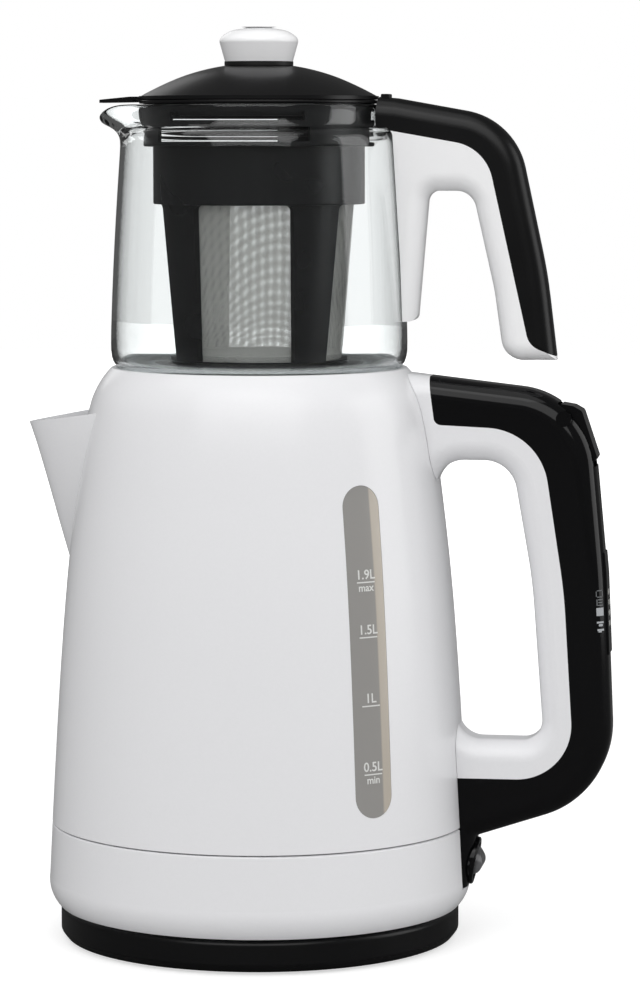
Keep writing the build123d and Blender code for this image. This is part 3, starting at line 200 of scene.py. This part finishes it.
def clearPlastic(name, look):
    # transparent moulding: tinted, passes lamp light, with a slow ripple
    material, tree = newMaterial(name)
    ripple = noiseOf(tree, look["rippleMm"], 1.0)
    shader = addNode(tree, "ShaderNodeBsdfPrincipled",
                     {"IOR": look["ior"], "Roughness": look["roughness"],
                      "Base Color": linear(look["colour"]), "Transmission Weight": look["clearness"]},
                     {"Normal": bumpOf(tree, ripple, look["rippleDepthMm"])})
    return surfaceOf(material, tree, passingLight(tree, shader, look["lampColour"]))


# borosilicate glass, blown in a mould and fire polished: clear, faintly wavy
clearGlass = clearPlastic("borosilicateGlassBlown", {
    "colour": "#FBFDFD", "lampColour": "#F3F6F6", "roughness": 0.0, "ior": 1.474, "clearness": 1.0,
    "rippleMm": 60.0, "rippleDepthMm": 0.01})
# polycarbonate, smoked: grey switch cap with a deep gloss
smokeGrey = clearPlastic("smokedPolycarbonateMoulded", {
    "colour": "#6E6E70", "lampColour": "#4A4A4C", "roughness": 0.12, "ior": 1.585, "clearness": 0.35,
    "rippleMm": 5.0, "rippleDepthMm": 0.02})
# polycarbonate, milky: light guides that look pale when the lamps are off
lampLens = clearPlastic("milkyPolycarbonateMoulded", {
    "colour": "#D4D4CF", "lampColour": "#9C9C98", "roughness": 0.3, "ior": 1.585, "clearness": 0.25,
    "rippleMm": 3.0, "rippleDepthMm": 0.01})


def smokedWindow(name, look):
    # SAN moulding, frosted inside: grey, with a warm strip where its side wall shows through the face
    material, tree = newMaterial(name)
    edges = [math.radians(edge) for edge in look["stripDeg"]]
    strip = spread(tree, turnOf(tree, partsOf(tree)), 0.0, 1.0, *edges)
    frost = noiseOf(tree, look["frostMm"], 3.0)
    shader = addNode(tree, "ShaderNodeBsdfPrincipled",
                     {"IOR": look["ior"], "Roughness": look["roughness"],
                      "Transmission Weight": look["clearness"]},
                     {"Base Color": blendColours(tree, strip, look["colour"], look["stripColour"]),
                      "Normal": bumpOf(tree, frost, look["frostDepthMm"])})
    return surfaceOf(material, tree, passingLight(tree, shader, look["lampColour"]))


frostedWindow = smokedWindow("smokedSanWindowMoulded", {
    "colour": "#ABA9A6", "stripColour": "#D2C9BC", "stripDeg": (-45.1, -44.3), "lampColour": "#8A8781",
    "roughness": 0.16, "ior": 1.57, "clearness": 0.3, "frostMm": 5.0, "frostDepthMm": 0.01})


def workedMetal(name, look):
    # bare metal: fine scratches along its grain, and slow stains in colour and shine
    material, tree = newMaterial(name)
    lines = noiseOf(tree, look["lineMm"], 3.0, look["stretch"])
    stain = noiseOf(tree, look["stainMm"])
    polish = [look["roughness"] * share for share in metalPolish]
    shader = addNode(tree, "ShaderNodeBsdfPrincipled", {"Metallic": 1.0}, {
        "Base Color": blendColours(tree, stain, look["colour"], look["shade"]),
        "Roughness": spread(tree, lines, *polish),
        "Normal": bumpOf(tree, lines, look["lineDepthMm"])})
    return surfaceOf(material, tree, shader.outputs["BSDF"])


# 304 stainless steel, brushed one way: fine lines stretch the reflections
brushedSteel = workedMetal("stainlessSteelBrushed", {
    "colour": "#C9C8C4", "shade": "#BDBCB8", "roughness": 0.3, "lineMm": 0.5, "lineDepthMm": 0.004,
    "stretch": (0.04, 1.0, 1.0), "stainMm": 25.0})
# steel, zinc plated: bright with a cool cast
zincSteel = workedMetal("zincPlatedSteel", {
    "colour": "#C6CACD", "shade": "#B4B9BF", "roughness": 0.24, "lineMm": 0.4, "lineDepthMm": 0.002,
    "stretch": (1.0, 1.0, 0.3), "stainMm": 3.0})
# stainless tube, annealed while brazing: straw and brown heat tint
elementSteel = workedMetal("stainlessTubeHeatTinted", {
    "colour": "#8E7C66", "shade": "#6B625C", "roughness": 0.42, "lineMm": 0.6, "lineDepthMm": 0.004,
    "stretch": (1.0, 1.0, 0.3), "stainMm": 9.0})
# aluminium, pressed and etched: pale and dull
aluminium = workedMetal("aluminiumPressed", {
    "colour": "#D5D6D8", "shade": "#C8C9CB", "roughness": 0.42, "lineMm": 0.8, "lineDepthMm": 0.006,
    "stretch": (1.0, 1.0, 1.0), "stainMm": 18.0})
# brass, stamped: warm and bright, a little tarnished
brass = workedMetal("brassStamped", {
    "colour": "#D9B064", "shade": "#C29A52", "roughness": 0.26, "lineMm": 0.4, "lineDepthMm": 0.002,
    "stretch": (1.0, 1.0, 0.2), "stainMm": 4.0})


def wovenMesh(name, look):
    # plain weave, open between the wires: light comes through, and two layers of it make a moire
    material, tree = newMaterial(name)
    parts = partsOf(tree)
    if look["flat"]:
        across, along = (parts[axis] for axis in look["flat"])
    else:
        across = mathOf(tree, "MULTIPLY", turnOf(tree, parts), look["radiusMm"] * mm)
        # the cloth is cut a little off its grain, so its rows climb round the basket
        along = mathOf(tree, "MULTIPLY_ADD", across, look["climb"], parts["Z"])
    waves = []
    for source, pitch in zip((across, along), look["pitchMm"]):
        steps = mathOf(tree, "MULTIPLY", source, math.pi / (pitch * mm))
        waves.append(mathOf(tree, "ABSOLUTE", mathOf(tree, "SINE", steps)))
    # the square holes lie where both waves peak
    hole = mathOf(tree, "MINIMUM", *waves)
    cloud = noiseOf(tree, look["cloudMm"])
    shader = addNode(tree, "ShaderNodeBsdfPrincipled",
                     {"Metallic": look["metallic"], "Roughness": look["roughness"]},
                     {"Base Color": blendColours(tree, cloud, look["colour"], look["shade"]),
                      "Alpha": spread(tree, hole, 1.0, 0.0, look["wire"], look["wire"] + look["wireEdge"]),
                      "Normal": bumpOf(tree, cloud, look["cloudDepthMm"])})
    return surfaceOf(material, tree, shader.outputs["BSDF"])


# stainless wire cloth: too fine to see but for the moire
meshLook = {"pitchMm": (0.225, 0.19), "climb": 0.0086, "wire": 0.5, "wireEdge": 0.08, "colour": "#C9C8C4",
            "shade": "#B9B8B4", "cloudMm": 14.0, "cloudDepthMm": 0.1, "metallic": 0.55, "roughness": 0.5,
            "radiusMm": 36.0, "flat": None}
basketMesh = wovenMesh("stainlessWireClothBasket", meshLook)
floorMesh = wovenMesh("stainlessWireClothFloor", {**meshLook, "flat": ("X", "Y")})
spoutMesh = wovenMesh("stainlessWireClothSpout", {**meshLook, "flat": ("Y", "Z")})


def circuitBoard(name, look):
    # glass-epoxy board: green lacquer over copper tracks, seen as lighter lines
    material, tree = newMaterial(name)
    row = look["trackMm"] * mm
    tracks = addNode(tree, "ShaderNodeTexBrick",
                     {"Scale": 1.0, "Brick Width": row * look["trackRows"], "Row Height": row,
                      "Mortar Size": row * look["gapRows"]}, {"Vector": placeOf(tree)}).outputs["Fac"]
    shader = addNode(tree, "ShaderNodeBsdfPrincipled", {"IOR": look["ior"], "Roughness": look["roughness"]}, {
        "Base Color": blendColours(tree, tracks, look["colour"], look["trackColour"]),
        "Normal": bumpOf(tree, tracks, look["trackDepthMm"])})
    return surfaceOf(material, tree, shader.outputs["BSDF"])


boardGreen = circuitBoard("lacqueredCircuitBoard", {
    "colour": "#14502E", "trackColour": "#3B7A4C", "trackMm": 1.6, "trackRows": 3, "gapRows": 0.12,
    "trackDepthMm": 0.03, "ior": 1.55, "roughness": 0.25})

finishes = [
    (glossWhite, ["kettle_body", "kettle_skirt", "kettle_handle_inner", "seat_ring"]),
    # the small white parts take the lighter copy of the white: painted light
    (paintedLightWhite, ["pot_handle_inner", "lid_knob"]),
    (mouldedGrey, ["base_bottom_cover", "kettle_bottom_cover"]),
    (glossBlack, ["kettle_handle_cover", "thumb_button", "light_panel", "switch_bezel"]),
    (satinBlack, ["base_shell", "pot_handle_cover", "lid_dome", "filter_collar", "filter_cage",
                  "cord_gland"]),
    (connectorBlack, ["power_connector", "socket_housing", "thermostat"]),
    (smokeGrey, ["power_rocker"]),
    (clearGlass, ["glass_pot"]),
    (frostedWindow, ["level_window"]),
    (lampLens, ["indicator_lenses"]),
    (brushedSteel, ["heater_plate"]),
    (basketMesh, ["filter_mesh"]),
    (floorMesh, ["filter_floor"]),
    (spoutMesh, ["scale_filter_mesh"]),
    (zincSteel, ["base_screws", "bottom_screws", "handle_screws", "button_pin", "button_spring",
                 "pot_handle_screw", "knob_screw"]),
    (elementSteel, ["heating_element"]),
    (aluminium, ["heat_spreader"]),
    (brass, ["connector_contacts", "socket_contacts"]),
    (silicone, ["plate_seal", "seat_gasket", "window_seal"]),
    (blackSilicone, ["knob_seal", "base_feet"]),
    (adhesive, ["handle_adhesive"]),
    (boardGreen, ["light_board"]),
    (filterGrey, ["scale_filter_frame"]),
]
for material, names in finishes:
    for name in names:
        for slot in nodes[name].material_slots:
            slot.material = material
print("stage 2: materials on", sum(len(names) for _, names in finishes), "of", len(nodes), "nodes")


def printedInk(name, look):
    # pad-printed ink: a thin raised film with slightly uneven cover
    material, tree = newMaterial(name)
    film = noiseOf(tree, look["filmMm"])
    shader = addNode(tree, "ShaderNodeBsdfPrincipled", {"IOR": look["ior"], "Roughness": look["roughness"]}, {
        "Base Color": blendColours(tree, film, look["colour"], look["shade"]),
        "Normal": bumpOf(tree, film, look["depthMm"])})
    return surfaceOf(material, tree, shader.outputs["BSDF"])


inkLook = {"filmMm": 0.6, "depthMm": 0.01, "ior": 1.5, "roughness": 0.4}
whiteInk = printedInk("whitePadPrint", {**inkLook, "colour": "#DEDEDC", "shade": "#D3D3D0"})

windowMarks = {
    "angleDeg": -47.8,                       # of the window about the kettle's axis
    "labels": [("1.9L", 152.4, 5.1), ("max", 147.7, 4.1), ("1.5L", 131.2, 5.1), ("1L", 104.7, 5.1),
               ("0.5L", 78.2, 5.1), ("min", 73.4, 4.1)],   # words, foot of the letters, size in mm
    "bars": [151.1, 129.9, 103.4, 76.9], "barWideMm": 8.2, "barMm": 0.5, "boldMm": 0.07, "filmMm": 0.05,
    "startM": 0.1, "reachM": 0.02, "liftMm": 0.02,
}


def faceOf(name):
    # the faces of a node, for laying print on them
    mesh = nodes[name].data
    corners = [nodes[name].matrix_world @ vertex.co for vertex in mesh.vertices]
    return BVHTree.FromPolygons(corners, [list(polygon.vertices) for polygon in mesh.polygons])


def layOn(mesh, face, start, look):
    # each flat point (across, up, film) in mm moves along its own line onto the face
    for vertex in mesh.vertices:
        begin, direction = start(vertex.co.x * mm, vertex.co.y * mm)
        hit, normal, _, _ = face.ray_cast(begin, direction)
        if hit is None:
            hit, normal, _, _ = face.find_nearest(begin + direction * look["reachM"])
        if normal.dot(direction) > 0:
            normal = -normal
        vertex.co = hit + normal * (vertex.co.z + look["liftMm"]) * mm


def flatWords(words, sizeMm, heightMm, look):
    # letters as a flat mesh in mm, centred, standing on a height
    curve = bpy.data.curves.new("words", "FONT")
    curve.body = words
    curve.size = sizeMm
    curve.align_x = "CENTER"
    curve.offset = look["boldMm"]
    curve.extrude = look["filmMm"] / 2
    curve.resolution_u = 3
    carrier = bpy.data.objects.new("words", curve)
    scene.collection.objects.link(carrier)
    mesh = bpy.data.meshes.new_from_object(carrier.evaluated_get(bpy.context.evaluated_depsgraph_get()))
    bpy.data.objects.remove(carrier)
    bpy.data.curves.remove(curve)
    mesh.transform(Matrix.Translation((0, heightMm, look["filmMm"] / 2)))
    return mesh


def addBar(work, middle, wide, high, film):
    # a flat bar of print, cut into short lengths so that it can bend
    box = bmesh.ops.create_grid(work, x_segments=8, y_segments=2, size=0.5)["verts"]
    bmesh.ops.scale(work, verts=box, vec=(wide, high, 1))
    bmesh.ops.translate(work, verts=box, vec=(middle[0], middle[1], film))


def makePiece(name, work, material, body):
    mesh = bpy.data.meshes.new(name)
    work.to_mesh(mesh)
    work.free()
    mesh.materials.append(material)
    piece = bpy.data.objects.new(name, mesh)
    scene.collection.objects.link(piece)
    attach(piece, body)
    return piece


def levelPrint(look):
    work = bmesh.new()
    for words, height, size in look["labels"]:
        mesh = flatWords(words, size, height, look)
        work.from_mesh(mesh)
        bpy.data.meshes.remove(mesh)
    for height in look["bars"]:
        addBar(work, (0, height), look["barWideMm"], look["barMm"], look["filmMm"])
    piece = makePiece("levelMarks", work, whiteInk, "kettle")
    turned = math.radians(look["angleDeg"])
    out = Vector((math.cos(turned), math.sin(turned), 0))
    side = Vector((-math.sin(turned), math.cos(turned), 0))
    layOn(piece.data, faceOf("level_window"),
          lambda x, z: (out * look["startM"] + side * x + Vector((0, 0, z)), -out), look)


levelPrint(windowMarks)

greyInk = printedInk("greyPadPrint", {**inkLook, "colour": "#6F7173", "shade": "#686A6C"})
paleInk = printedInk("palePadPrint", {**inkLook, "colour": "#AEB1B4", "shade": "#A5A8AB"})

lightMarks = {
    # middle across, height, width and height of each bar in mm, on the rounding between side and back
    "grey": [(-1.6, 142.6, 0.35, 2.2), (0.0, 143.9, 2.6, 0.35), (1.4, 142.6, 0.35, 2.2),
             (0.0, 141.4, 2.6, 0.35), (-1.4, 139.2, 0.45, 2.6), (0.2, 140.3, 2.4, 0.4),
             (0.2, 139.2, 2.0, 0.4), (0.2, 138.1, 2.4, 0.4)],
    "pale": [(0.0, 135.5, 3.6, 3.2), (-0.1, 131.3, 3.4, 0.7), (0.1, 130.2, 2.0, 0.9), (0.0, 128.3, 3.3, 0.8),
             (-0.4, 127.6, 1.6, 0.5)],
    "middle": (139.9, -10.0), "insetMm": 2.4, "backPerMm": 3.8 / 88, "backAt": 150.0,
    "reachM": 0.02, "liftMm": 0.02, "filmMm": 0.05,
}


def lightPrint(look, name, ink):
    work = bmesh.new()
    for across, height, wide, high in look[name]:
        addBar(work, (across, height), wide, high, look["filmMm"])
    piece = makePiece(name + "LightMarks", work, ink, "kettle")
    out = Vector((1, -1, 0)).normalized()
    side = Vector((1, 1, 0)).normalized()

    def start(x, z):
        # the back leans out towards its foot
        back = (look["middle"][0] - look["insetMm"]) * mm + (look["backAt"] * mm - z) * look["backPerMm"]
        return Vector((back, look["middle"][1] * mm, z)) + out * look["reachM"] + side * x, -out

    layOn(piece.data, faceOf("kettle_handle_cover"), start, look)


lightPrint(lightMarks, "grey", greyInk)
lightPrint(lightMarks, "pale", paleInk)
print("stage 3: litre marks on the window, signs beside the lights")

glassLook = {
    # section of the pot in mm: (radius, height), and where the lip draws it out also
    # (radius, height) at the lip and how late the height bends
    "section": [
        (0.0, 229.25), (30.0, 229.25), (49.0, 229.25), (54.6, 229.5), (57.6, 231.2), (59.2, 234.4),
        (59.4, 240.0), (59.1, 250.0), (58.4, 268.0), (57.2, 290.0), (55.7, 312.0),
        (55.1, 319.5, 55.2, 318.5, 1), (54.8, 322.6, 56.0, 321.8, 1), (53.6, 324.7, 57.8, 324.2, 1),
        (51.4, 325.25, 59.8, 325.6, 1), (49.5, 325.9, 61.8, 326.5, 1), (48.45, 327.6, 63.5, 327.3, 1),
        (48.4, 330.5, 64.5, 328.2, 2), (48.4, 333.2, 65.05, 329.3, 4), (48.3, 334.6, 64.8, 330.4, 4),
        (47.7, 334.98, 63.9, 331.2, 4), (46.9, 334.8, 62.9, 331.0, 4), (46.55, 333.6, 62.2, 330.2, 4),
        (46.5, 330.5, 60.9, 329.2, 2), (46.9, 327.2, 59.0, 328.2, 1), (47.4, 325.7, 57.2, 327.0, 1),
        (49.1, 324.5, 55.6, 325.6, 1), (51.3, 323.9, 54.5, 323.2, 1), (52.9, 322.3, 53.8, 320.6, 1),
        (53.4, 318.2, 53.5, 317.0, 1), (53.8, 312.0), (55.3, 290.0), (56.5, 268.0), (57.2, 250.0),
        (57.35, 241.0), (57.15, 235.6), (55.9, 233.0), (53.9, 231.7), (50.0, 231.35), (40.0, 231.3),
        (18.0, 231.3), (0.0, 231.3)],
    "lipWideDeg": 13.5, "lipEndDeg": 60, "steps": 144,
}


def blownPot(look):
    # one skin of glass, turned, with its wall drawn out into a pouring lip on the spout's side
    work = bmesh.new()
    rings = []
    for corner in look["section"]:
        r0, z0, r1, z1, late = corner if len(corner) > 2 else (*corner, *corner, 1)
        if r0 == 0.0:
            rings.append([work.verts.new((0, 0, z0 * mm))] * look["steps"])
            continue
        row = []
        for k in range(look["steps"]):
            angle = 2 * math.pi * k / look["steps"]
            off = math.degrees(abs(angle - math.pi))
            drawn = math.exp(-(off / look["lipWideDeg"]) ** 2) if off < look["lipEndDeg"] else 0.0
            radius = (r0 + (r1 - r0) * drawn) * mm
            row.append(work.verts.new((radius * math.cos(angle), radius * math.sin(angle),
                                       (z0 + (z1 - z0) * drawn ** late) * mm)))
        rings.append(row)
    for low, high in zip(rings, rings[1:]):
        for k in range(look["steps"]):
            n = (k + 1) % look["steps"]
            corners = list(dict.fromkeys([low[k], low[n], high[n], high[k]]))
            work.faces.new(corners).smooth = True
    bmesh.ops.recalc_face_normals(work, faces=work.faces)
    piece = makePiece("blownGlassPot", work, clearGlass, "teapot")
    smoother = piece.modifiers.new("smoother", "SUBSURF")
    smoother.levels = smoother.render_levels = 1
    return piece


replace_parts(blownPot(glassLook), "glass_pot")

clothLook = {
    # foot and top of the basket's cloth as (radius, height) in mm, and how its crimped rows stand out
    "foot": (32.99, 233.15), "top": (37.85, 295.45), "rows": 56, "steps": 288,
    "crimpMm": 0.03, "crimps": 12, "crimpShift": 0.4,
}


def wovenBasket(look):
    # one layer of cloth, so that its near and far side show through each other
    work = bmesh.new()
    rows = []
    for i in range(look["rows"] + 1):
        up = i / look["rows"]
        radius = look["foot"][0] + (look["top"][0] - look["foot"][0]) * up
        height = look["foot"][1] + (look["top"][1] - look["foot"][1]) * up
        row = []
        for k in range(look["steps"]):
            angle = 2 * math.pi * k / look["steps"]
            wave = math.cos(look["crimps"] * angle + look["crimpShift"] * i)
            out = (radius + look["crimpMm"] * wave) * mm
            row.append(work.verts.new((out * math.cos(angle), out * math.sin(angle), height * mm)))
        rows.append(row)
    for low, high in zip(rows, rows[1:]):
        for k in range(look["steps"]):
            n = (k + 1) % look["steps"]
            work.faces.new((low[k], low[n], high[n], high[k])).smooth = True
    return makePiece("wovenBasket", work, basketMesh, "tea_filter")


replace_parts(wovenBasket(clothLook), "filter_mesh")
print("stage 4: glass pot blown with its lip, basket cloth woven")

cameraLook = {"place": (0.2618, -1.4977, 0.3247), "turnDeg": 9.0, "dipDeg": 5.55, "lensMm": 136.94,
              "seesM": 20}
turn, dip = math.radians(cameraLook["turnDeg"]), math.radians(cameraLook["dipDeg"])
sight = Vector((-math.sin(turn) * math.cos(dip), math.cos(turn) * math.cos(dip), -math.sin(dip)))
cameraData = bpy.data.cameras.new("camera")
cameraData.lens = cameraLook["lensMm"]
cameraData.clip_end = cameraLook["seesM"]
camera = bpy.data.objects.new("camera", cameraData)
camera.location = cameraLook["place"]
camera.rotation_euler = sight.to_track_quat("-Z", "Y").to_euler()
scene.collection.objects.link(camera)
scene.camera = camera

lamps = {  # place, aim, width and height in metres, watts
    "frontLamp": ((0.1, -1.9, 1.75), (0, 0, 0.15), (3.2, 1.9), 28.5),
    "rightLamp": ((1.6, 0.2, 0.5), (0, 0, 0.18), (0.9, 1.6), 7.0),
    "topLamp": ((-0.2, -0.35, 1.6), (0, 0, 0.2), (1.7, 1.2), 5.5),
    "backLamp": ((-0.9, 1.5, 0.9), (0, 0, 0.2), (0.8, 0.8), 1.6),
}
for name, (place, aim, size, watts) in lamps.items():
    data = bpy.data.lights.new(name, "AREA")
    data.shape = "RECTANGLE"
    data.size, data.size_y = size
    data.energy = watts
    lamp = bpy.data.objects.new(name, data)
    lamp.location = place
    lamp.rotation_euler = (Vector(aim) - Vector(place)).to_track_quat("-Z", "Y").to_euler()
    scene.collection.objects.link(lamp)

floorLook = {"sizeM": 8.0, "colour": "#C4C4C4", "mirrored": "#585858", "glow": (0.62, 1.0),
             "glowM": (0.5, 1.4), "worldLight": 0.58, "worldShine": 0.1}


def raySigns(tree):
    # rays that show the white background, and rays that have met a shiny face before and see a dim room
    rays = addNode(tree, "ShaderNodeLightPath").outputs
    seen = mathOf(tree, "MAXIMUM", rays["Is Camera Ray"], rays["Is Transmission Ray"])
    once = mathOf(tree, "MINIMUM", rays["Glossy Depth"], 1.0)
    return seen, mathOf(tree, "MULTIPLY", rays["Is Glossy Ray"], once)


def whiteFloor(look):
    # painted board: dull white that keeps the object's shadow and melts into the white around it
    material, tree = newMaterial("paintedFloorBoard")
    dull = addNode(tree, "ShaderNodeBsdfDiffuse", {"Color": linear(look["colour"])})
    away = addNode(tree, "ShaderNodeVectorMath", None, {0: placeOf(tree)},
                   {"operation": "LENGTH"}).outputs["Value"]
    glow = addNode(tree, "ShaderNodeEmission", None, {
        "Strength": spread(tree, away, *look["glow"], *look["glowM"])})
    both = addNode(tree, "ShaderNodeAddShader", None, {0: dull.outputs["BSDF"], 1: glow.outputs["Emission"]})
    seen, dimmed = raySigns(tree)
    mixed = addNode(tree, "ShaderNodeMixShader", None, {
        0: seen, 1: dull.outputs["BSDF"], 2: both.outputs["Shader"]})
    dim = addNode(tree, "ShaderNodeBsdfDiffuse", {"Color": linear(look["mirrored"])})
    final = addNode(tree, "ShaderNodeMixShader", None, {
        0: dimmed, 1: mixed.outputs["Shader"], 2: dim.outputs["BSDF"]})
    surfaceOf(material, tree, final.outputs["Shader"])
    boardMesh = bpy.data.meshes.new("floorBoard")
    work = bmesh.new()
    bmesh.ops.create_grid(work, x_segments=4, y_segments=4, size=look["sizeM"] / 2)
    work.to_mesh(boardMesh)
    work.free()
    boardMesh.materials.append(material)
    board = bpy.data.objects.new("floorBoard", boardMesh)
    scene.collection.objects.link(board)
    return board


whiteFloor(floorLook)

world = bpy.data.worlds.new("paleStudio")
scene.world = world
world.use_nodes = True
tree = world.node_tree
tree.nodes.clear()
seen, dimmed = raySigns(tree)
strength = addNode(tree, "ShaderNodeMix", {mixSecond: floorLook["worldShine"]}, {
    mixFactor: dimmed, mixFirst: spread(tree, seen, floorLook["worldLight"], 1.0, 0.0, 1.0)},
    {"data_type": "FLOAT"})
sky = addNode(tree, "ShaderNodeBackground", {"Color": linear("#FFFFFF")}, {"Strength": strength.outputs[0]})
addNode(tree, "ShaderNodeOutputWorld", None, {"Surface": sky.outputs["Background"]})
scene.view_settings.view_transform = "Standard"
print("stage 5: camera, lamps and floor set")
